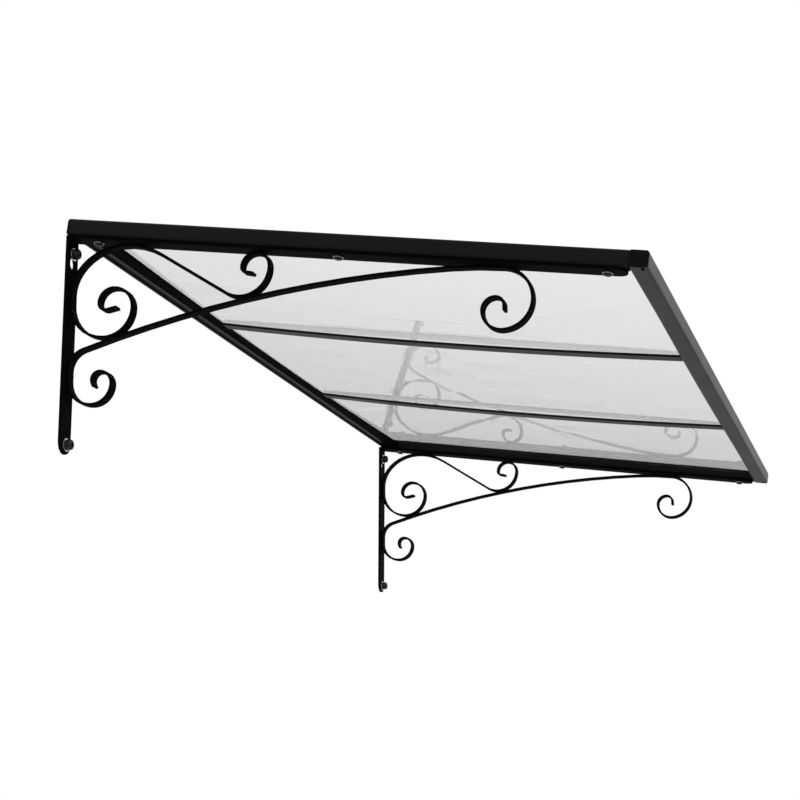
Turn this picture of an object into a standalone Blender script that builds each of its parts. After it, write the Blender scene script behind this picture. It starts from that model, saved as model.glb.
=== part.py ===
"""Door canopy: a clear sheet in a sloping frame of square tube, held to the wall
by two flat-bar brackets with scrolls. X runs along the wall, the wall is the
plane Y = 0, the canopy reaches out to -Y and Z is up. The origin is on the wall,
in the middle, at the height where the underside of the bracket arms meets it.
"""
import math

import bmesh
import bpy
from mathutils import Matrix, Vector

MM = 0.001

# the whole canopy
WIDTH = 1200.0             # over both side rails
REACH = 615.5              # along the slope, from the wall to the front rail's outer face
SLOPE = math.radians(7.8)  # fall towards the front
GAP = 0.3                  # clearance between pieces that touch

# frame of tube
RAIL_WIDTH = 20.0
RAIL_HEIGHT = 17.3
RAIL_CORNER = 2.8
TUBE_WALL = 1.5
PLUG_HEAD = 2.0            # at the plug's lower edge; at the wall its face is plumb, so it is thicker above
PLUG_FROM_WALL = 0.6
PLUG_TONGUE = 8.0
DRAIN_LENGTH = 12.0
DRAIN_WIDTH = 3.0
DRAIN_FROM_FRONT = 6.0

# wall profile at the back
BACK_DEPTH = 11.0
BACK_UNDERSIDE = 8.2
LEG_THICKNESS = 3.0
LEG_UNDERSIDE = 5.5
SEAL_DEPTH = 16.5          # of the black seal, from the profile to the bars' ends

# clear sheet
SHEET_THICKNESS = 3.0
SHEET_UNDERSIDE = 14.5     # at the side rails, above the underside of the bracket arms
SHEET_IN_GROOVE = 5.0
SHEET_DIP = 5.0            # fall from the side rails to the middle
SHEET_SAG = 3.0            # further fall between wall and front rail
SHEET_FRONT_GAP = 4.0

# glazing bars under the sheet
BAR_PLACE = 200.0          # each side of the middle
BAR_WIDTH = 20.0
BAR_THICKNESS = 3.0
BAR_SAG = 5.0
BAR_BEND = 2.5             # radius where the front end turns up
TAB_RISE = 3.0             # of the turned-up end above the bar

# bracket: post, arm and scrolls
BRACKET_INSET = 2.0        # of the post's outer edge from the rail's outer face
FLAT_WIDTH = 25.0
FLAT_THICKNESS = 3.0
POST_DROP = 229.5
ARM_SHORT = 1.0            # of the arm's end from the front rail
STRIP_WIDTH = 12.0
STRIP_THICKNESS = 3.0
STRIP_INSET = 0.5          # of the strips' middle from the bars' middle, inwards
KEYHOLE_DROP = 25.8        # to the middle of the round part, below the wall bolt
KEYHOLE_DIAMETER = 12.0

# scrolls: radii of the strip's centre line, one for each quarter turn
ARCH_POST_RADIUS = 22.0
ARCH_RADIUS = 1290.0
ARCH_FRONT_RADIUS = 420.0
FRONT_ROLL = (33.0, 30.5, 20.5, 13.3, 9.0)
LOW_ROLL = (27.0, 21.4, 13.3, 8.5, 11.5)
TOP_BEND = (35.5, 82.5)    # easing from the first to the second
SMALL_ROLL = (30.0, 14.7, 5.0)
INNER_ROLL = (38.5, 30.6, 21.8, 15.6, 7.5)
FRONT_TIP = 5.5            # straight ends of the strips
SMALL_TIP = 8.5
INNER_TIP = 11.0
POST_CONTACT = 11.0        # length of the arch strip that lies on the post

# turns in degrees
ARCH_POST_TURN = 72.7
ARCH_TURN = 17.7
TOP_TURN = 122.8
LOW_LAST_TURN = 39.0
SMALL_LAST_TURN = 78.0
INNER_LAST_TURN = 101.0

# fasteners
TOP_BOLT_DROP = 15.5
LOW_BOLT_RISE = 10.0       # above the post's end
BACK_BOLT = 32.5           # from the wall, along the slope
FRONT_BOLT = 20.0          # from the arm's end
MIDDLE_BOLT_SHARE = 0.49   # of the way between these two
SHANK = 6.0
HOLE = 6.6
WALL_HEAD = (11.0, 6.5, 2.0)   # diameter, height, height of the crown
RAIL_HEAD = (9.5, 2.0, 1.7)
WALL_WASHER_DIAMETER = 14.0
RAIL_WASHER_DIAMETER = 11.0
WASHER_THICKNESS = 1.0
BOLT_REACH = 3.0           # of a rail bolt above the tube's bottom wall

# worked out from the sizes above
HALF = WIDTH / 2
RAIL_BOTTOM = FLAT_THICKNESS + GAP
RAIL_TOP = RAIL_BOTTOM + RAIL_HEIGHT
FRONT_FACE = REACH - RAIL_WIDTH            # inner face of the front rail
INNER_FACE = HALF - RAIL_WIDTH             # inner face of a side rail
BRACKET_X = HALF - BRACKET_INSET - FLAT_WIDTH / 2
ARM_END = FRONT_FACE - ARM_SHORT
LAST_BOLT = ARM_END - FRONT_BOLT
RAIL_BOLT_PLACES = (BACK_BOLT, BACK_BOLT + (LAST_BOLT - BACK_BOLT) * MIDDLE_BOLT_SHARE, LAST_BOLT)
WALL_BOLT_DROPS = (TOP_BOLT_DROP, POST_DROP - LOW_BOLT_RISE)
STACK = STRIP_THICKNESS + GAP              # centre to centre of two strips that touch
POST_FRONT = FLAT_THICKNESS + GAP + STRIP_THICKNESS / 2
ARM_UNDER = GAP + STRIP_THICKNESS / 2

for old in list(bpy.data.objects):
    bpy.data.objects.remove(old, do_unlink=True)

canopy = bpy.data.collections.new("door_canopy")
cutters = bpy.data.collections.new("cutters")
bpy.context.scene.collection.children.link(canopy)
bpy.context.scene.collection.children.link(cutters)


def colour(name, rgb, roughness, metallic, alpha=1.0):
    material = bpy.data.materials.new(name)
    material.use_nodes = True
    shader = material.node_tree.nodes["Principled BSDF"]
    shader.inputs["Base Color"].default_value = (*rgb, 1.0)
    shader.inputs["Roughness"].default_value = roughness
    shader.inputs["Metallic"].default_value = metallic
    shader.inputs["Alpha"].default_value = alpha
    return material


BLACK = dict(rgb=(0.02, 0.02, 0.022), roughness=0.5, metallic=0.0)
PLUG_BLACK = dict(rgb=(0.015, 0.015, 0.016), roughness=0.4, metallic=0.0)
STEEL = dict(rgb=(0.6, 0.6, 0.61), roughness=0.3, metallic=1.0)
RUBBER = dict(rgb=(0.012, 0.012, 0.012), roughness=0.9, metallic=0.0)
CLEAR = dict(rgb=(0.93, 0.94, 0.95), roughness=0.05, metallic=0.0, alpha=0.3)

# the roof's own axes: X along the wall, -Y down the slope, Z square to the sheet
roof = bpy.data.objects.new("roof_slope", None)
roof.rotation_euler = (SLOPE, 0, 0)
canopy.objects.link(roof)

# turns that take a section drawn in X and Y to where its length runs
ALONG_X = Matrix(((0, 0, 1, 0), (1, 0, 0, 0), (0, 1, 0, 0), (0, 0, 0, 1)))
ALONG_Y = Matrix.Rotation(math.radians(90), 4, "X")
ALONG_Z = Matrix.Identity(4)


# outlines, in millimetres

def arc(centre, radius, start, end, steps):
    """Points on an arc, angles in degrees."""
    angles = [math.radians(start + (end - start) * i / steps) for i in range(steps + 1)]
    return [(centre[0] + radius * math.cos(a), centre[1] + radius * math.sin(a)) for a in angles]


def circle(centre, diameter, steps=20):
    return arc(centre, diameter / 2, 0, 360, steps)[:-1]


def rounded_box(low, high, radius, steps=4):
    """A rectangle with rounded corners, from its low corner to its high one."""
    points = []
    centres = ((high[0] - radius, high[1] - radius), (low[0] + radius, high[1] - radius),
               (low[0] + radius, low[1] + radius), (high[0] - radius, low[1] + radius))
    for quarter, centre in enumerate(centres):
        points += arc(centre, radius, 90 * quarter, 90 * quarter + 90, steps)
    return points


def tube(low, high):
    """The two outlines of the frame's tube."""
    inner_low = (low[0] + TUBE_WALL, low[1] + TUBE_WALL)
    inner_high = (high[0] - TUBE_WALL, high[1] - TUBE_WALL)
    return [rounded_box(low, high, RAIL_CORNER),
            rounded_box(inner_low, inner_high, RAIL_CORNER - TUBE_WALL)]


def band(centre_line, thickness):
    """Outline of a strip of even thickness along a line."""
    left, right = [], []
    last = len(centre_line) - 1
    for i, point in enumerate(centre_line):
        here = Vector(point)
        before = (here - Vector(centre_line[i - 1])).normalized() if i > 0 else None
        after = (Vector(centre_line[i + 1]) - here).normalized() if i < last else None
        along = ((before or after) + (after or before)).normalized()
        stretch = 1 / along.dot(before or after)
        normal = Vector((-along.y, along.x)) * thickness / 2 * stretch
        left.append(tuple(here + normal))
        right.append(tuple(here - normal))
    return left + right[::-1]


def at_wall(height, distance=0.0):
    """A point at a height square to the roof, on a plumb line at a distance from the wall."""
    return ((height * math.sin(SLOPE) - distance) / math.cos(SLOPE), height)


# solids

def finish(name, mesh, look, parent=None):
    item = bpy.data.objects.new(name, mesh)
    canopy.objects.link(item)
    item.parent = parent
    if look:
        mesh.materials.clear()
        mesh.materials.append(colour(name, **look))
    mesh.shade_smooth()
    mesh.set_sharp_from_angle(angle=math.radians(35))
    return item


def prism(name, outlines, low, high, turn, x=0.0):
    """A mesh with the outlines as its section, from low to high along its length."""
    curve = bpy.data.curves.new(name, "CURVE")
    curve.dimensions = "2D"
    curve.fill_mode = "BOTH"
    curve.extrude = (high - low) / 2 * MM
    for outline in outlines:
        spline = curve.splines.new("POLY")
        spline.points.add(len(outline) - 1)
        for point, (u, v) in zip(spline.points, outline):
            point.co = (u * MM, v * MM, 0, 1)
        spline.use_cyclic_u = True
    drawn = bpy.data.objects.new(name + "_outline", curve)
    canopy.objects.link(drawn)
    bpy.context.view_layer.update()
    mesh = bpy.data.meshes.new_from_object(drawn.evaluated_get(bpy.context.evaluated_depsgraph_get()))
    bpy.data.objects.remove(drawn)
    solid = bmesh.new()
    solid.from_mesh(mesh)
    bmesh.ops.remove_doubles(solid, verts=solid.verts, dist=1e-6)
    solid.transform(Matrix.Translation((x * MM, 0, 0)) @ turn @ Matrix.Translation((0, 0, (low + high) / 2 * MM)))
    bmesh.ops.recalc_face_normals(solid, faces=solid.faces)
    solid.to_mesh(mesh)
    solid.free()
    return mesh


def boolean(item, cutter, operation="DIFFERENCE"):
    cutter.hide_render = True
    cutter.display_type = "WIRE"
    canopy.objects.unlink(cutter)
    cutters.objects.link(cutter)
    modifier = item.modifiers.new(operation.lower(), "BOOLEAN")
    modifier.operation = operation
    modifier.object = cutter


def turned(name, profile, look, steps=20):
    """A solid of revolution about Z, its profile given as radius and height, top to bottom."""
    mesh = bpy.data.meshes.new(name)
    points = [(radius * MM, 0, height * MM) for radius, height in profile]
    mesh.from_pydata(points, [(i, i + 1) for i in range(len(points) - 1)], [])
    item = finish(name, mesh, look)
    screw = item.modifiers.new("turn", "SCREW")
    screw.steps = steps
    screw.render_steps = steps
    screw.use_merge_vertices = True
    screw.merge_threshold = 1e-6
    return item


def bolt(name, head, length, look):
    """A bolt with a crowned head: head above Z = 0, shank below."""
    diameter, height, crown = head
    profile = [(diameter / 2 * math.sin(a), height - crown + crown * math.cos(a))
               for a in (math.radians(22.5 * i) for i in range(5))]
    profile += [(diameter / 2, 0), (SHANK / 2, 0), (SHANK / 2, -length), (0, -length)]
    return turned(name, profile, look)


# frame of tube
side_section = tube((-RAIL_WIDTH / 2, RAIL_BOTTOM), (RAIL_WIDTH / 2, RAIL_TOP))
tongue = rounded_box((-RAIL_WIDTH / 2 + TUBE_WALL + GAP, RAIL_BOTTOM + TUBE_WALL + GAP),
                     (RAIL_WIDTH / 2 - TUBE_WALL - GAP, RAIL_TOP - TUBE_WALL - GAP), RAIL_CORNER - TUBE_WALL)
groove = [(-TUBE_WALL, SHEET_UNDERSIDE - GAP), (TUBE_WALL, SHEET_UNDERSIDE - GAP),
          (TUBE_WALL, SHEET_UNDERSIDE + SHEET_THICKNESS + GAP), (-TUBE_WALL, SHEET_UNDERSIDE + SHEET_THICKNESS + GAP)]

for side, sign in (("left", -1), ("right", 1)):
    centre = sign * (HALF - RAIL_WIDTH / 2)
    plug_end = PLUG_FROM_WALL + PLUG_HEAD
    rail = finish("side_rail_" + side, prism("side_rail", side_section, plug_end + GAP, FRONT_FACE - GAP, ALONG_Y,
                                             centre), BLACK, roof)
    cut = finish("groove_" + side, prism("groove", [groove], -RAIL_WIDTH, REACH, ALONG_Y,
                                         sign * (INNER_FACE + TUBE_WALL / 4)), None, roof)
    boolean(rail, cut)
    for place in RAIL_BOLT_PLACES:
        hole = prism("hole", [circle((0, -place), HOLE)], RAIL_BOTTOM - TUBE_WALL, RAIL_BOTTOM + 2 * TUBE_WALL,
                     ALONG_Z, sign * BRACKET_X)
        boolean(rail, finish("rail_hole", hole, None, roof))
    plug_mesh = prism("plug", [side_section[0]], PLUG_FROM_WALL, plug_end, ALONG_Y, centre)
    for vertex in plug_mesh.vertices:
        if vertex.co.y > (PLUG_HEAD / 2 - plug_end) * MM:
            vertex.co.y = at_wall(vertex.co.z / MM, PLUG_FROM_WALL)[0] * MM
    plug = finish("wall_plug_" + side, plug_mesh, PLUG_BLACK, roof)
    cut = prism("tongue", [tongue], plug_end - PLUG_HEAD / 2, plug_end + PLUG_TONGUE, ALONG_Y, centre)
    boolean(plug, finish("tongue_" + side, cut, None, roof), "UNION")

front_section = tube((-REACH, RAIL_BOTTOM), (-FRONT_FACE, RAIL_TOP))
rail_end = HALF - PLUG_HEAD - GAP
front_rail = finish("front_rail", prism("front", front_section, -rail_end, rail_end, ALONG_X), BLACK, roof)
front_tongue = [(y - REACH + RAIL_WIDTH / 2, z) for y, z in tongue]
for side, sign in (("left", -1), ("right", 1)):
    middle = -REACH + DRAIN_FROM_FRONT
    slot = rounded_box((min(sign * HALF, sign * (HALF - DRAIN_LENGTH)), middle - DRAIN_WIDTH / 2),
                       (max(sign * HALF, sign * (HALF - DRAIN_LENGTH)), middle + DRAIN_WIDTH / 2), 1.0, 3)
    cut = prism("drain", [slot], RAIL_BOTTOM - TUBE_WALL, RAIL_BOTTOM + 1.5 * TUBE_WALL, ALONG_Z)
    boolean(front_rail, finish("drain_" + side, cut, None, roof))
    low, high = sorted((sign * HALF, sign * (HALF - PLUG_HEAD)))
    plug = finish("front_plug_" + side, prism("plug", [front_section[0]], low, high, ALONG_X), PLUG_BLACK, roof)
    low, high = sorted((sign * (HALF - PLUG_HEAD / 2), sign * (HALF - PLUG_HEAD - PLUG_TONGUE)))
    boolean(plug, finish("front_tongue_" + side, prism("tongue", [front_tongue], low, high, ALONG_X),
                         None, roof), "UNION")


# wall profile: a hollow box with a leg down the wall, its back plumb
wall_outline = [at_wall(RAIL_TOP), at_wall(LEG_UNDERSIDE), at_wall(LEG_UNDERSIDE, LEG_THICKNESS),
                at_wall(BACK_UNDERSIDE, LEG_THICKNESS), (-BACK_DEPTH, BACK_UNDERSIDE), (-BACK_DEPTH, RAIL_TOP)]
hollow = [at_wall(RAIL_TOP - TUBE_WALL, TUBE_WALL), at_wall(BACK_UNDERSIDE + TUBE_WALL, TUBE_WALL),
          (-BACK_DEPTH + TUBE_WALL, BACK_UNDERSIDE + TUBE_WALL), (-BACK_DEPTH + TUBE_WALL, RAIL_TOP - TUBE_WALL)]
back_end = INNER_FACE - GAP
finish("back_rail", prism("back", [wall_outline, hollow], -back_end, back_end, ALONG_X), BLACK, roof)


# clear sheet, dipped to the middle and sagging between wall and front
def sheet_height(x, along):
    """Height of the sheet's underside; along runs from 0 at the wall to 1 at the front."""
    across = max(0.0, 1 - (x / INNER_FACE) ** 2)
    return SHEET_UNDERSIDE - SHEET_DIP * across - SHEET_SAG * across * 4 * along * (1 - along)


sheet_back = BACK_DEPTH + GAP
sheet_front = FRONT_FACE - SHEET_FRONT_GAP
sheet_half = INNER_FACE + SHEET_IN_GROOVE
grid = bmesh.new()
bmesh.ops.create_grid(grid, x_segments=24, y_segments=8, size=0.5)
for vertex in grid.verts:
    x = vertex.co.x * 2 * sheet_half
    down = sheet_back + (0.5 - vertex.co.y) * (sheet_front - sheet_back)
    vertex.co = (x * MM, -down * MM, sheet_height(x, down / REACH) * MM)
sheet_mesh = bpy.data.meshes.new("roof_sheet")
grid.to_mesh(sheet_mesh)
grid.free()
sheet = finish("roof_sheet", sheet_mesh, CLEAR, roof)
thicken = sheet.modifiers.new("thickness", "SOLIDIFY")
thicken.thickness = SHEET_THICKNESS * MM
thicken.offset = 1

# black seal between the wall profile and the bars: flat below, its top follows the sheet
seal = bmesh.new()
bmesh.ops.create_grid(seal, x_segments=24, y_segments=1, size=0.5)
for vertex in seal.verts:
    x = vertex.co.x * 2 * back_end
    down = sheet_back + (0.5 - vertex.co.y) * SEAL_DEPTH
    vertex.co = (x * MM, -down * MM, (sheet_height(x, down / REACH) - GAP) * MM)
lowered = bmesh.ops.extrude_face_region(seal, geom=seal.faces[:])["geom"]
for vertex in (new for new in lowered if isinstance(new, bmesh.types.BMVert)):
    vertex.co.z = BACK_UNDERSIDE * MM
bmesh.ops.recalc_face_normals(seal, faces=seal.faces)
seal_mesh = bpy.data.meshes.new("wall_seal")
seal.to_mesh(seal_mesh)
seal.free()
finish("wall_seal", seal_mesh, RUBBER, roof)

# glazing bars under the sheet, front end turned up against the front rail
bar_back = sheet_back + SEAL_DEPTH + GAP
bar_front = FRONT_FACE - GAP - BAR_THICKNESS / 2
bar_level = sheet_height(BAR_PLACE - BAR_WIDTH / 2, sheet_front / REACH) - GAP - BAR_THICKNESS / 2
bar_line = []
for i in range(13):
    along = i / 12
    down = bar_back + along * (bar_front - BAR_BEND - bar_back)
    bar_line.append((-down, bar_level - BAR_SAG * 4 * along * (1 - along)))
bar_line += arc((-bar_front + BAR_BEND, bar_level + BAR_BEND), BAR_BEND, 270, 180, 4)[1:]
bar_line.append((-bar_front, bar_level + BAR_THICKNESS / 2 + TAB_RISE))
for side, sign in (("left", -1), ("right", 1)):
    low = sign * BAR_PLACE - BAR_WIDTH / 2
    finish("glazing_bar_" + side, prism("bar", [band(bar_line, BAR_THICKNESS)], low, low + BAR_WIDTH, ALONG_X),
           BLACK, roof)


# bracket scrolls: strips bent in steps, drawn in Y and Z
class Strip:
    """A line of arcs and straights, each starting where the last one ends."""

    def __init__(self, start, heading):
        self.points = [Vector(start)]
        self.heading = math.radians(heading)

    def ahead(self):
        return Vector((math.cos(self.heading), math.sin(self.heading)))

    def straight(self, length):
        self.points.append(self.points[-1] + length * self.ahead())

    def bend(self, radius, degrees, last=None):
        """Turn by degrees, left positive, while the radius goes from radius to last."""
        change = (last or radius) - radius
        steps = max(2, round(abs(degrees) / 9), round(radius * math.radians(abs(degrees)) / 36))
        step = math.radians(degrees) / steps
        for i in range(steps):
            chord = 2 * (radius + change * (i + 0.5) / steps) * math.sin(abs(step) / 2)
            self.heading += step / 2
            self.straight(chord)
            self.heading += step / 2

    def roll(self, radii, side, last=90):
        """A quarter turn for each radius, to the left with side 1 or the right with -1."""
        for radius in radii[:-1]:
            self.bend(radius, side * 90)
        self.bend(radii[-1], side * last)


def below_arm(point):
    """How far a strip's centre line is below the place where it would touch the arm."""
    return -ARM_UNDER + point[0] * math.sin(SLOPE) - point[1] * math.cos(SLOPE)


def under_arm(points):
    """How far up a line moves to touch the underside of the sloping arm."""
    return min(below_arm(point) for point in points) / math.cos(SLOPE)


def travel_to_rest(centre, direction, radius):
    """How far a roll moves along a direction until it rests on the arch."""
    apart = centre - arch_centre
    along = apart.dot(direction)
    return -along - math.sqrt(along ** 2 - apart.length_squared + (ARCH_RADIUS + STACK + radius) ** 2)


# the arch: up the post, out to the front where it touches the arm, and rolled at both ends
fall = math.degrees(SLOPE)
arch = Strip((-POST_FRONT, 0), 90)
arch.bend(ARCH_POST_RADIUS, ARCH_POST_TURN)
arch_centre = arch.points[-1] + ARCH_RADIUS * Vector((-math.sin(arch.heading), math.cos(arch.heading)))
arch.bend(ARCH_RADIUS, ARCH_TURN)
arch.bend(ARCH_FRONT_RADIUS, 90 + fall - ARCH_POST_TURN - ARCH_TURN)
arch.bend(FRONT_ROLL[0], 90 - fall)
arch.roll(FRONT_ROLL[1:], 1)
arch.straight(FRONT_TIP)
low = Strip((-POST_FRONT, 0), -90)
low.straight(POST_CONTACT)
low.roll(LOW_ROLL, -1, LOW_LAST_TURN)
lift = Vector((0, under_arm(arch.points)))
arch_centre += lift
arch_line = [point + lift for point in low.points[:0:-1] + arch.points]

# the upper scroll: its top under the arm, the rolls at both ends resting on the arch
trial = Strip((-POST_FRONT, 0), 90)
trial.bend(TOP_BEND[0], TOP_TURN, TOP_BEND[1])
top = Strip((-POST_FRONT, under_arm(trial.points)), 90)
top.bend(TOP_BEND[0], TOP_TURN, TOP_BEND[1])
outward = top.ahead()
roll_centre = top.points[-1] + SMALL_ROLL[0] * Vector((outward.y, -outward.x))
top.straight(travel_to_rest(roll_centre, outward, SMALL_ROLL[0]))
top.bend(SMALL_ROLL[0], -TOP_TURN)
top.bend(below_arm(top.points[-1]) / (1 - math.sin(SLOPE)), -90)
top.roll(SMALL_ROLL[1:], -1, SMALL_LAST_TURN)
top.straight(SMALL_TIP)
outer, inner = INNER_ROLL[:2]
inner_centre = top.points[0] + Vector((-outer, inner - outer))
roll = Strip(top.points[0], -90)
roll.straight(travel_to_rest(inner_centre, Vector((0, -1)), inner))
roll.roll(INNER_ROLL, -1, INNER_LAST_TURN)
roll.straight(INNER_TIP)
upper_line = roll.points[:0:-1] + top.points

post_top = RAIL_BOTTOM / math.cos(SLOPE) - math.tan(SLOPE) * FLAT_THICKNESS - GAP
arm_outline = [(FLAT_WIDTH / 2, -FLAT_THICKNESS - 2 * GAP), (-FLAT_WIDTH / 2, -FLAT_THICKNESS - 2 * GAP)]
arm_outline += arc((0, -ARM_END + FLAT_WIDTH / 2), FLAT_WIDTH / 2, 180, 360, 12)
post_outline = [(FLAT_WIDTH / 2, post_top), (-FLAT_WIDTH / 2, post_top)]
post_outline += arc((0, -POST_DROP + FLAT_WIDTH / 2), FLAT_WIDTH / 2, 180, 360, 12)
neck = math.degrees(math.asin(HOLE / KEYHOLE_DIAMETER))    # where the slot meets the round part
keyhole = arc((0, -KEYHOLE_DROP), KEYHOLE_DIAMETER / 2, 90 + neck, 450 - neck, 20)
keyhole += arc((0, -TOP_BOLT_DROP), HOLE / 2, 0, 180, 8)

for side, sign in (("left", -1), ("right", 1)):
    x = sign * BRACKET_X
    post_mesh = prism("post", [post_outline, keyhole, circle((0, LOW_BOLT_RISE - POST_DROP), HOLE)], 0,
                      FLAT_THICKNESS, ALONG_Y, x)
    finish("post_" + side, post_mesh, BLACK)
    holes = [circle((0, -place), HOLE) for place in RAIL_BOLT_PLACES]
    finish("arm_" + side, prism("arm", [arm_outline] + holes, 0, FLAT_THICKNESS, ALONG_Z, x), BLACK, roof)
    for name, line in (("arch_scroll_", arch_line), ("upper_scroll_", upper_line)):
        near = x - sign * STRIP_INSET - STRIP_WIDTH / 2
        finish(name + side, prism(name, [band(line, STRIP_THICKNESS)], near, near + STRIP_WIDTH, ALONG_X), BLACK)
    for place, drop in zip(("upper", "lower"), WALL_BOLT_DROPS):
        ring = [circle((0, -drop), WALL_WASHER_DIAMETER), circle((0, -drop), HOLE)]
        seat = FLAT_THICKNESS + GAP
        washer = prism("washer", ring, seat, seat + WASHER_THICKNESS, ALONG_Y, x)
        finish("wall_washer_%s_%s" % (place, side), washer, STEEL)
        head = seat + WASHER_THICKNESS + GAP
        item = bolt("wall_bolt_%s_%s" % (place, side), WALL_HEAD, head, BLACK)
        item.location = (x * MM, -head * MM, -drop * MM)
        item.rotation_euler = (math.radians(90), 0, 0)
    for place, along in zip(("back", "middle", "front"), RAIL_BOLT_PLACES):
        ring = [circle((0, -along), RAIL_WASHER_DIAMETER), circle((0, -along), HOLE)]
        washer = prism("washer", ring, -GAP - WASHER_THICKNESS, -GAP, ALONG_Z, x)
        finish("washer_%s_%s" % (place, side), washer, STEEL, roof)
        seat = 2 * GAP + WASHER_THICKNESS
        item = bolt("rail_bolt_%s_%s" % (place, side), RAIL_HEAD, seat + RAIL_BOTTOM + TUBE_WALL + BOLT_REACH, BLACK)
        item.parent = roof
        item.location = (x * MM, -along * MM, -seat * MM)
        item.rotation_euler = (math.radians(180), 0, 0)
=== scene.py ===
# %% [markdown]
# # A clear door canopy on two scroll brackets
# The canopy is a sloping frame of black square tube with a clear sheet in its grooves. Two brackets of black
# flat bar carry it. The solids are made already, so this lesson only gives them their finish: worked edges,
# powder coat, clear plastic, plated steel, and light that shows all of it.

import math

import bmesh
import bpy
from mathutils import Matrix, Vector


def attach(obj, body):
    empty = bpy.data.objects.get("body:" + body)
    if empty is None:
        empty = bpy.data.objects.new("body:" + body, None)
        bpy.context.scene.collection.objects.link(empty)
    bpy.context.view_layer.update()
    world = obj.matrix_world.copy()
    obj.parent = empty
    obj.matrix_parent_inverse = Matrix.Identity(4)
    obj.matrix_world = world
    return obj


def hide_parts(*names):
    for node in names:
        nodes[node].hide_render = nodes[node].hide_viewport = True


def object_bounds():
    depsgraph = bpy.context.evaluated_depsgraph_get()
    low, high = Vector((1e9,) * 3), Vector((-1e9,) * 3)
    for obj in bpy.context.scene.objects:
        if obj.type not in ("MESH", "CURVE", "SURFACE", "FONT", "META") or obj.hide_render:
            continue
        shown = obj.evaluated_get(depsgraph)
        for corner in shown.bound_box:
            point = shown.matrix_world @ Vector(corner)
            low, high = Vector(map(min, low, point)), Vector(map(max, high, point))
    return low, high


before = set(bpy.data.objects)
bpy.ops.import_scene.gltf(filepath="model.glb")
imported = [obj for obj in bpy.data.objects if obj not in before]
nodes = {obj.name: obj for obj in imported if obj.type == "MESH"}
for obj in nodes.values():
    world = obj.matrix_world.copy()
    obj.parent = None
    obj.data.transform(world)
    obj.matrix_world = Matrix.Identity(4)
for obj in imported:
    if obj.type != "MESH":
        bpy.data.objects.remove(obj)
cad_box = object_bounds()
MM = 0.001
SIDES = ("left", "right")
print(len(nodes), "solids, box", [[round(v, 4) for v in corner] for corner in cad_box])

# %% [markdown]
# ## Look from where the photographer stood
# The photograph was taken from below the near side rail. The viewpoint was worked out from the frame's straight
# edges: where they meet gives the direction, and the rail's width gives the distance. A camera looks along its
# own -Z with Y upright, so its turn is built from three arrows at right angles.

# %% Place the camera
PICTURE = 800                                    # pixels across
FOCAL = 1980.3                                   # focal length in those pixels
NEAREST = 0.05                                   # metres from the lens, nothing nearer is drawn
EYE = Vector((-2.4164, -0.8747, -0.6197))
AHEAD = Vector((0.93934, 0.26385, 0.21916))
UPRIGHT = Vector((-0.21190, -0.05603, 0.97568))


def add_object(name, data):
    """A new object in the scene that holds the data."""
    item = bpy.data.objects.new(name, data)
    bpy.context.scene.collection.objects.link(item)
    return item


camera_data = bpy.data.cameras.new("camera")
camera_data.lens = FOCAL / PICTURE * camera_data.sensor_width
camera_data.clip_start = NEAREST
camera = add_object("camera", camera_data)
ahead = AHEAD.normalized()
right = ahead.cross(UPRIGHT).normalized()
turn = Matrix((right, right.cross(ahead), -ahead)).transposed()
camera.matrix_world = Matrix.Translation(EYE) @ turn.to_4x4()
bpy.context.scene.camera = camera
print("lens", round(camera_data.lens, 1), "mm")

# %% [markdown]
# ## A small language for finishes
# A finish is a network of nodes. Wiring each node by hand hides what it is for, so a socket is wrapped in a
# class that works in arithmetic: `0.4 + 0.1 * grain` adds two Math nodes and reads like the formula that it is.

# %% A socket that takes part in sums
class Value:
    """An output of a node. A sum or product with it adds a Math node."""

    def __init__(self, network, socket):
        self.network = network
        self.socket = socket

    def math(self, operation, first, second):
        return self.network.add("Math", {"operation": operation}, {0: first, 1: second})

    def __add__(self, other):
        return self.math("ADD", self, other)

    def __radd__(self, other):
        return self.math("ADD", other, self)

    def __sub__(self, other):
        return self.math("SUBTRACT", self, other)

    def __rsub__(self, other):
        return self.math("SUBTRACT", other, self)

    def __mul__(self, other):
        return self.math("MULTIPLY", self, other)

    def __rmul__(self, other):
        return self.math("MULTIPLY", other, self)

    def either(self, other):
        return self.math("MAXIMUM", self, other)


print("a value works with + - * on either side")

# %% [markdown]
# A network can belong to a material or to the world, and both are wired in the same way. So one class adds the
# nodes, and a finish is such a network with a material of its own.

# %% A network, and the one way to add a node to it
class Network:
    """The nodes of a material or of the world."""

    def __init__(self, tree):
        self.tree = tree

    def feed(self, node, sockets):
        """Give sockets of a node their values or links."""
        for key, value in sockets.items():
            if isinstance(value, Value):
                self.tree.links.new(value.socket, node.inputs[key])
            elif isinstance(value, tuple) and node.inputs[key].type == "RGBA":
                node.inputs[key].default_value = (*value, 1)
            else:
                node.inputs[key].default_value = value

    def add(self, kind, settings=None, sockets=None, output=0):
        """Add a node: its settings first, then the values or links of its sockets."""
        node = self.tree.nodes.new("ShaderNode" + kind)
        for key, value in (settings or {}).items():
            setattr(node, key, value)
        self.feed(node, sockets or {})
        return Value(self, node.outputs[output])


print("a network adds any node by its kind, settings and sockets")

# %% A finish with a material of its own
MIX_LOW, MIX_HIGH, MIX_RESULT = 6, 7, 2          # places of a Mix node's colour sockets


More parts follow.
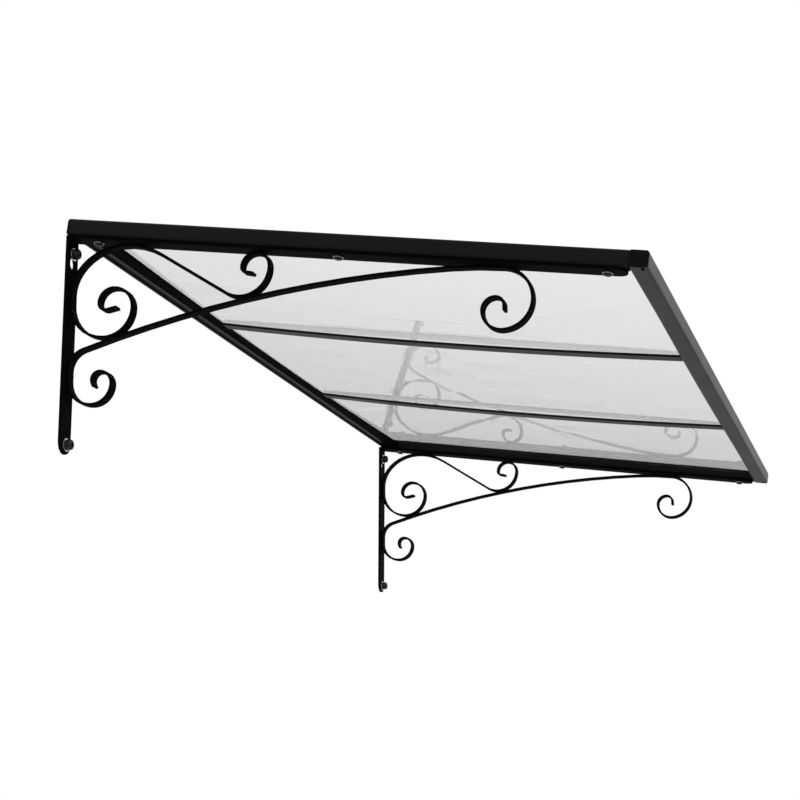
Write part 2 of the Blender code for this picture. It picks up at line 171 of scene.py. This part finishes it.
class Finish(Network):
    """A material with its nodes. What is the same all over goes straight to the shader's own sockets."""

    def __init__(self, name, constants):
        self.material = bpy.data.materials.new(name)
        self.material.use_nodes = True
        super().__init__(self.material.node_tree)
        self.shader = self.tree.nodes["Principled BSDF"]
        self.feed(self.shader, constants)

    def place(self):
        return self.add("TexCoord", output="Object")

    def noise(self, size, detail=2.0, where=None):
        """A cloudy pattern with patches of about size metres."""
        return self.add("TexNoise", {}, {"Vector": where or self.place(), "Scale": 1 / size, "Detail": detail})

    def between(self, amount, low, high):
        """A colour between two, as amount goes from 0 to 1."""
        sockets = {"Factor": amount, MIX_LOW: low, MIX_HIGH: high}
        return self.add("Mix", {"data_type": "RGBA"}, sockets, output=MIX_RESULT)

    def bump(self, height, depth, strength):
        return self.add("Bump", {}, {"Height": height, "Distance": depth, "Strength": strength})

    def surface(self, colour, roughness, normal):
        """Wire up what changes over the surface, and give back the finished material."""
        self.feed(self.shader, {"Base Color": colour, "Roughness": roughness, "Normal": normal})
        print(self.material.name, "has", len(self.tree.nodes), "nodes")
        return self.material


print("a finish mixes noise into colour, roughness and bumps")

# %% [markdown]
# ## Powder coat
# The frame and brackets are sprayed with powder and baked. The powder melts into a skin with a fine orange peel:
# low bumps one to two millimetres across, over a much finer grain. The skin is thin, so bumps in the shader are
# enough. On the frame the coat has a slight sheen and turns grey where the eye grazes it. The brackets are matt
# and stay black from every side, so the same recipe is mixed twice.

# %% Black powder coat, for the frame and for the brackets
COAT_BLACKS = ((0.0016, 0.0016, 0.0018), (0.0028, 0.0028, 0.0032))


def powder_coat(name, shine, roughness, peel_depth):
    paint = Finish(name, {"Specular IOR Level": shine})
    peel = paint.noise(1.6 * MM, detail=1.5)
    grain = paint.noise(0.25 * MM)
    cloud = paint.noise(60 * MM, detail=3)
    return paint.surface(paint.between(cloud, *COAT_BLACKS),
                         roughness + 0.10 * cloud + 0.04 * grain,
                         paint.bump(0.8 * peel + 0.2 * grain, peel_depth, 0.6))


frame_paint = powder_coat("frame_powder_coat", shine=0.11, roughness=0.32, peel_depth=0.05 * MM)
bracket_paint = powder_coat("bracket_powder_coat", shine=0.015, roughness=0.62, peel_depth=0.09 * MM)

# %% [markdown]
# ## The seal at the back
# A strip of black rubber fills the space below the sheet, in front of the back profile. Extruded rubber has fine
# lines along its length from the die, so its noise is drawn out along the strip. It mirrors nearly nothing.

# %% Black rubber
RUBBER_BLACKS = ((0.0012, 0.0012, 0.0012), (0.0030, 0.0030, 0.0029))
DRAWN_OUT = (0.02, 1.0, 1.0)                     # fifty times as long along the strip


def seal_rubber():
    rubber = Finish("seal_rubber", {"Specular IOR Level": 0.01})
    drawn = rubber.add("Mapping", {}, {"Vector": rubber.place(), "Scale": DRAWN_OUT})
    lines = rubber.noise(0.7 * MM, where=drawn)
    dust = rubber.noise(25 * MM, detail=4)
    return rubber.surface(rubber.between(dust, *RUBBER_BLACKS),
                          0.78 + 0.12 * lines,
                          rubber.bump(lines, 0.05 * MM, 0.6))


seal = seal_rubber()

# %% [markdown]
# ## Moulded plugs
# The ends of the tubes are closed by moulded plugs. Their mould was spark eroded, which leaves an even matt
# grain. One noise gives that grain to the roughness and to the bumps alike.

# %% Plug plastic
PLUG_BLACKS = ((0.002, 0.002, 0.0022), (0.0034, 0.0034, 0.0034))


def moulded_plastic():
    plastic = Finish("moulded_plastic", {"Specular IOR Level": 0.06})
    grain = plastic.noise(0.5 * MM, detail=4)
    shade = plastic.noise(12 * MM)
    return plastic.surface(plastic.between(shade, *PLUG_BLACKS),
                           0.42 + 0.16 * grain,
                           plastic.bump(grain, 0.05 * MM, 0.5))


plug_plastic = moulded_plastic()

# %% [markdown]
# ## The clear sheet
# Extruded polycarbonate bends light more than window glass does. It is never quite flat: the rollers leave long
# soft waves that show in what it mirrors. A very light grey stands for the light that a real sheet absorbs.

# %% Clear polycarbonate
CLEAR_TINTS = ((0.972, 0.972, 0.958), (0.985, 0.985, 0.975))
ROLLED = (1.0, 0.25, 1.0)                        # waves four times as long down the slope


def polycarbonate():
    clear = Finish("polycarbonate", {"Transmission Weight": 1.0, "IOR": 1.585})
    rolled = clear.add("Mapping", {}, {"Vector": clear.place(), "Scale": ROLLED})
    waves = clear.noise(70 * MM, detail=1, where=rolled)
    haze = clear.noise(8 * MM, detail=4)
    return clear.surface(clear.between(haze, *CLEAR_TINTS),
                         0.003 + 0.005 * haze,
                         clear.bump(waves, 0.04 * MM, 0.1))


clear_sheet = polycarbonate()

# %% [markdown]
# ## Fasteners
# The bolts are blackened steel, smoother than the paint. The washers are plated with zinc, which grows in small
# crystals, so each washer is a little lighter here and darker there. The bumps on both are faint.

# %% Blackened bolts and plated washers
OXIDE_BLACKS = ((0.003, 0.003, 0.004), (0.008, 0.008, 0.009))
ZINC_GREYS = ((0.62, 0.63, 0.65), (0.74, 0.74, 0.74))


def blackened_steel():
    oxide = Finish("blackened_steel", {"Specular IOR Level": 0.25})
    spots = oxide.noise(1.2 * MM, detail=3)
    return oxide.surface(oxide.between(spots, *OXIDE_BLACKS),
                         0.26 + 0.16 * spots,
                         oxide.bump(spots, 0.02 * MM, 0.4))


def plated_steel():
    zinc = Finish("plated_steel", {"Metallic": 1.0})
    spangle = zinc.noise(0.9 * MM, detail=3)
    return zinc.surface(zinc.between(spangle, *ZINC_GREYS),
                        0.22 + 0.15 * spangle,
                        zinc.bump(spangle, 0.01 * MM, 0.4))


black_bolt = blackened_steel()
washer_steel = plated_steel()

# %% [markdown]
# ## Work the edges
# No sawn or pressed edge is truly sharp, and paint rounds it more. A bevel of a few tenths of a millimetre
# catches the light as the real edge does. The solids stay as they are, and modifiers do this on the way to the
# picture: the triangles are merged to flat faces first, so that the bevel runs clean along each edge.

# %% Round an edge by modifiers
SAME_POINT = 1e-6                                # metres, points nearer than this are one
ONE_FACE = math.radians(0.2)                     # triangles that meet at less than this are one flat face
EDGE_TURN = math.radians(32)                     # an edge turns by more than this
EDGE_STEPS = 3


def work_edges(item, width):
    weld = item.modifiers.new("weld", "WELD")
    weld.merge_threshold = SAME_POINT
    flat = item.modifiers.new("flat_faces", "DECIMATE")
    flat.decimate_type = "DISSOLVE"
    flat.angle_limit = ONE_FACE
    bevel = item.modifiers.new("edges", "BEVEL")
    bevel.width = width
    bevel.segments = EDGE_STEPS
    bevel.limit_method = "ANGLE"
    bevel.angle_limit = EDGE_TURN
    bevel.use_clamp_overlap = True
    item.modifiers.new("shading", "WEIGHTED_NORMAL").keep_sharp = True


print("an edge is rounded in", EDGE_STEPS, "steps")

# %% Give each solid its finish and its edges
EDGE = 0.45 * MM
SAWN = 0.12 * MM                                 # a tube's corners are round already, its sawn ends are not
FINISH_OF = (("roof_sheet", clear_sheet, 0.15 * MM),         # start of the names, finish, width of the edges
             ("wall_seal", seal, 0.3 * MM),
             ("wall_plug", plug_plastic, 0.5 * MM),
             ("front_plug", plug_plastic, SAWN),
             (("washer", "wall_washer"), washer_steel, 0.15 * MM),
             (("wall_bolt", "rail_bolt"), black_bolt, 0.2 * MM),
             (("post", "arm", "arch_scroll", "upper_scroll"), bracket_paint, EDGE),
             (("side_rail", "front_rail"), frame_paint, SAWN),
             ("", frame_paint, EDGE))                        # all others

for name, item in nodes.items():
    look, width = next(row[1:] for row in FINISH_OF if name.startswith(row[0]))
    item.data.materials.clear()
    item.data.materials.append(look)
    work_edges(item, width)
print("finished", len(nodes), "solids")

# %% [markdown]
# ## Round the plugs
# The face of a plug at the back is a little cushion, low at its rim and flat in the middle, and its upper corner
# is rounded the most. The cushioned copy is made from the plug's solid: the face is pushed in at its rim, then
# grown out again in rings on a quarter of an ellipse. The copy stands in the place of the solid. The front plugs
# are flush with the side rails, so they stay.

# %% Copy a solid, and make an object of what becomes of it
def world_copy(name):
    """The shape of a solid, ready to be worked on where it stands."""
    shape = bmesh.new()
    shape.from_mesh(nodes[name].data)
    shape.transform(nodes[name].matrix_world)
    return shape


def add_shape(name, shape, look, smooth_to):
    """An object of a worked shape, shaded smooth where its faces meet at less than smooth_to degrees."""
    mesh = bpy.data.meshes.new(name)
    shape.to_mesh(mesh)
    shape.free()
    mesh.materials.append(look)
    mesh.shade_smooth()
    mesh.set_sharp_from_angle(angle=math.radians(smooth_to))
    return add_object(name, mesh)


print("a copy keeps its solid's place")

# %% Cushion the two plugs at the back
FALL = math.radians(7.8)                         # of the canopy towards its front
UP_SLOPE = Vector((0, math.cos(FALL), math.sin(FALL)))
CUSHION_DEPTH = (0.4 * MM, 4.3 * MM)             # at the bottom and at the top of the rim
CUSHION_SPREAD = 0.55                            # share of the face from the rim to the flat middle
CUSHION_RINGS = 6


def cushioned(name, outward):
    """A copy of a plug in which the face that looks outward is domed at its rim."""
    shape = world_copy(name)
    bmesh.ops.remove_doubles(shape, verts=shape.verts, dist=SAME_POINT)
    bmesh.ops.dissolve_limit(shape, angle_limit=ONE_FACE, verts=shape.verts, edges=shape.edges)
    shape.normal_update()
    face = max(shape.faces, key=lambda side: side.normal.dot(outward) * side.calc_area())
    centre = face.calc_center_bounds()
    spokes = [vertex.co - centre for vertex in face.verts]
    half = max(spoke.z for spoke in spokes)
    shallow, deep = CUSHION_DEPTH
    depths = [shallow + (deep - shallow) * (0.5 + spoke.z / half / 2) ** 2 for spoke in spokes]
    for i in range(CUSHION_RINGS + 1):
        angle = math.radians(90 * i / CUSHION_RINGS)
        spread = 1 - CUSHION_SPREAD * (1 - math.cos(angle))
        if i > 0:
            face = bmesh.ops.extrude_discrete_faces(shape, faces=[face])["faces"][0]
        for vertex, spoke, depth in zip(face.verts, spokes, depths):
            vertex.co = centre + spoke * spread - outward * depth * (1 - math.sin(angle))
    bmesh.ops.recalc_face_normals(shape, faces=shape.faces)
    item = add_shape(name + "_cushion", shape, plug_plastic, smooth_to=40)
    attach(item, "root")
    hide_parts(name)
    return item


cushions = [cushioned("wall_plug_" + side, UP_SLOPE) for side in SIDES]
print("cushioned", len(cushions), "plugs")

# %% [markdown]
# ## Close the joint in front
# The solids keep a clearance of 0.3 mm where the side rails meet the front rail. On the real frame that joint is
# shut, and daylight would show through the clearance. A copy of each side rail runs on by nearly that much.

# %% Let the side rails meet the front rail
JOINT = 0.27 * MM
END_SLICE = 0.02 * MM                            # points this near to the front end belong to it


def run_on(name, length):
    """A copy of a side rail whose front end is moved down the slope by length."""
    shape = world_copy(name)
    front = min(vertex.co.dot(UP_SLOPE) for vertex in shape.verts)
    for vertex in shape.verts:
        if vertex.co.dot(UP_SLOPE) - front < END_SLICE:
            vertex.co -= UP_SLOPE * length
    item = add_shape(name + "_closed", shape, frame_paint, smooth_to=35)
    work_edges(item, SAWN)
    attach(item, "root")
    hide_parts(name)
    return item


closed_rails = [run_on("side_rail_" + side, JOINT) for side in SIDES]

# %% [markdown]
# ## Bolts with a socket
# Each bolt has a crowned head with a six-sided socket for the key. A bolt is built from rings of points, from
# the middle of the socket's floor out over the crown and down to the end of the shank. All rings have the same
# number of points, so that each can be joined to the next by four-sided faces.

# %% Round and six-sided rings
AROUND = 24


def circle_ring(radius, height):
    turns = [2 * math.pi * i / AROUND for i in range(AROUND)]
    return [(radius * math.cos(angle), radius * math.sin(angle), height) for angle in turns]


def six_sided_ring(across, height):
    """Points on a hexagon, given its size across the flats."""
    ring = []
    for i in range(AROUND):
        angle = 2 * math.pi * i / AROUND
        off = (angle + math.pi / 6) % (math.pi / 3) - math.pi / 6
        reach = across / 2 / math.cos(off)
        ring.append((reach * math.cos(angle), reach * math.sin(angle), height))
    return ring


print("rings of", AROUND, "points")

# %% Build a bolt from its rings
SHANK = 6.0 * MM
FLOOR_CHAMFER = 0.3 * MM                         # where the socket's walls meet its floor
MOUTH_CHAMFER = 0.2 * MM                         # where they meet the top of the head
MOUTH_RIM = 0.6 * MM                             # flat ring around the socket
CROWN_STEPS = 6
HEAD_CHAMFER = 0.25 * MM                         # under the head, at its outside
SHANK_CHAMFER = 0.2 * MM                         # where the shank meets the head
TIP_CHAMFER = 0.6 * MM


def socket_bolt(name, length, diameter, height, crown, socket, depth):
    """A bolt with its head above Z = 0 and its shank below. The socket is given across the flats."""
    floor_level = height - depth
    rings = [six_sided_ring(socket - FLOOR_CHAMFER, floor_level),
             six_sided_ring(socket, floor_level + FLOOR_CHAMFER),
             six_sided_ring(socket, height - MOUTH_CHAMFER),
             six_sided_ring(socket + 2 * MOUTH_CHAMFER, height)]
    rim = socket / 2 + MOUTH_RIM
    for i in range(CROWN_STEPS + 1):
        turned = math.radians(90 * i / CROWN_STEPS)
        rings.append(circle_ring(rim + (diameter / 2 - rim) * math.sin(turned),
                                 height - crown + crown * math.cos(turned)))
    rings += [circle_ring(diameter / 2, HEAD_CHAMFER),
              circle_ring(diameter / 2 - HEAD_CHAMFER, 0),
              circle_ring(SHANK / 2 + SHANK_CHAMFER, 0),
              circle_ring(SHANK / 2, -SHANK_CHAMFER),
              circle_ring(SHANK / 2, TIP_CHAMFER - length),
              circle_ring(SHANK / 2 - TIP_CHAMFER, -length)]
    shape = bmesh.new()
    rows = [[shape.verts.new(point) for point in ring] for ring in rings]
    shape.faces.new(rows[0][::-1])
    shape.faces.new(rows[-1])
    for row, following in zip(rows, rows[1:]):
        for i in range(AROUND):
            j = (i + 1) % AROUND
            shape.faces.new((row[i], row[j], following[j], following[i]))
    bmesh.ops.recalc_face_normals(shape, faces=shape.faces)
    return add_shape(name, shape, black_bolt, smooth_to=40)


print("a shank is", round(SHANK / MM, 1), "mm thick")

# %% [markdown]
# A bolt stands on its washer, so its place is found from its solid: the outermost point less the height of the
# head. The bolts through the posts lie level. Those through the arms stand square to the slope.

# %% Turn ten bolts
WALL_HEAD = dict(diameter=11.0 * MM, height=6.5 * MM, crown=2.2 * MM, socket=5.0 * MM, depth=3.0 * MM)
RAIL_HEAD = dict(diameter=9.5 * MM, height=2.0 * MM, crown=1.6 * MM, socket=3.0 * MM, depth=1.3 * MM)
HEAD_SHARE = 0.99                                # of the head's height, so that no point of the shank counts
DOWN = Vector((0, math.sin(FALL), -math.cos(FALL)))          # square to the slope


def world_points(name):
    return [nodes[name].matrix_world @ vertex.co for vertex in nodes[name].data.vertices]


def wall_bolt(name):
    """A turned copy of a bolt that lies level, with its head in front."""
    xs, ys, zs = zip(*world_points(name))
    seat = min(ys) + WALL_HEAD["height"]
    item = socket_bolt(name + "_turned", max(ys) - seat, **WALL_HEAD)
    item.rotation_euler = (math.radians(90), 0, 0)
    item.location = ((min(xs) + max(xs)) / 2, seat, (min(zs) + max(zs)) / 2)
    return item


def rail_bolt(name):
    """A turned copy of a bolt that stands square to the slope, with its head below."""
    points = world_points(name)
    levels = [point.dot(DOWN) for point in points]
    tip = max(levels)
    seat = tip - RAIL_HEAD["height"]
    reach = RAIL_HEAD["height"] * HEAD_SHARE
    head = [point for point, level in zip(points, levels) if tip - level < reach]
    centre = sum(head, Vector()) / len(head)
    item = socket_bolt(name + "_turned", seat - min(levels), **RAIL_HEAD)
    item.rotation_euler = (math.radians(180) + FALL, 0, 0)
    item.location = centre + DOWN * (seat - centre.dot(DOWN))
    return item


turned_bolts = []
for name in nodes:
    if "_bolt_" not in name:
        continue
    item = wall_bolt(name) if name.startswith("wall") else rail_bolt(name)
    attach(item, "root")
    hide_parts(name)
    turned_bolts.append(item)
print("turned", len(turned_bolts), "bolts of", len(turned_bolts[0].data.polygons), "faces")

# %% [markdown]
# ## Floor and light
# The canopy hangs in front of plain white. A pale floor well below it throws soft light up under the sheet, and
# is clear from its back, so the canopy can be looked at from far below. One large lamp stands above and in
# front, and one above and behind. The world fills the rest, so that a colour renders about as it is written. To
# the camera and in what is mirrored or seen through the sheet, the world is plain white.

# %% Lay the floor
FLOOR_LEVEL = -0.95
FLOOR_SPREAD = 12.0

pale = Finish("pale_floor", {"Roughness": 0.9, "Specular IOR Level": 0.0, "Base Color": (0.74, 0.74, 0.73)})
pale.feed(pale.shader, {"Alpha": 1 - pale.add("NewGeometry", output="Backfacing")})
square = bmesh.new()
bmesh.ops.create_grid(square, x_segments=1, y_segments=1, size=FLOOR_SPREAD)
floor = add_shape("floor", square, pale.material, smooth_to=40)
floor.location.z = FLOOR_LEVEL
print("floor", -FLOOR_LEVEL, "m below")

# %% Fill the world
WORLD_LEVEL = 0.5
PLAIN_LEVEL = 1.0                                # renders as white
WHITE = (1, 1, 1)

world = bpy.data.worlds.new("studio")
world.use_nodes = True
bpy.context.scene.world = world
around = Network(world.node_tree)
around.tree.nodes.remove(around.tree.nodes["Background"])
seen, through, mirrored = [around.add("LightPath", output=ray)
                           for ray in ("Is Camera Ray", "Is Transmission Ray", "Is Glossy Ray")]
filling = around.add("Background", {}, {"Color": WHITE, "Strength": WORLD_LEVEL})
plain = around.add("Background", {}, {"Color": WHITE, "Strength": PLAIN_LEVEL})
shown = around.add("MixShader", {}, {0: seen.either(through).either(mirrored), 1: filling, 2: plain})
around.feed(around.tree.nodes["World Output"], {"Surface": shown})
print("world of strength", WORLD_LEVEL, "shown as", PLAIN_LEVEL)

# %% Hang the lamps
LAMP_POWER = 60.0
LAMPS = (("key", (-1.2, -2.2, 2.6), 2.5),        # name, place and width in metres
         ("rim", (-0.6, 2.4, 2.2), 2.0))


def lamp(name, place, towards, size):
    data = bpy.data.lights.new(name, "AREA")
    data.shape = "SQUARE"
    data.size = size
    data.energy = LAMP_POWER
    item = add_object(name, data)
    item.location = place
    item.rotation_euler = (towards - Vector(place)).to_track_quat("-Z", "Y").to_euler()


middle = (Vector(cad_box[0]) + Vector(cad_box[1])) / 2
for name, place, size in LAMPS:
    lamp(name, place, middle, size)
print(len(LAMPS), "lamps of", LAMP_POWER, "W")

# %% Colours as they are written
bpy.context.scene.view_settings.view_transform = "Standard"
print("colours are shown by the Standard view")
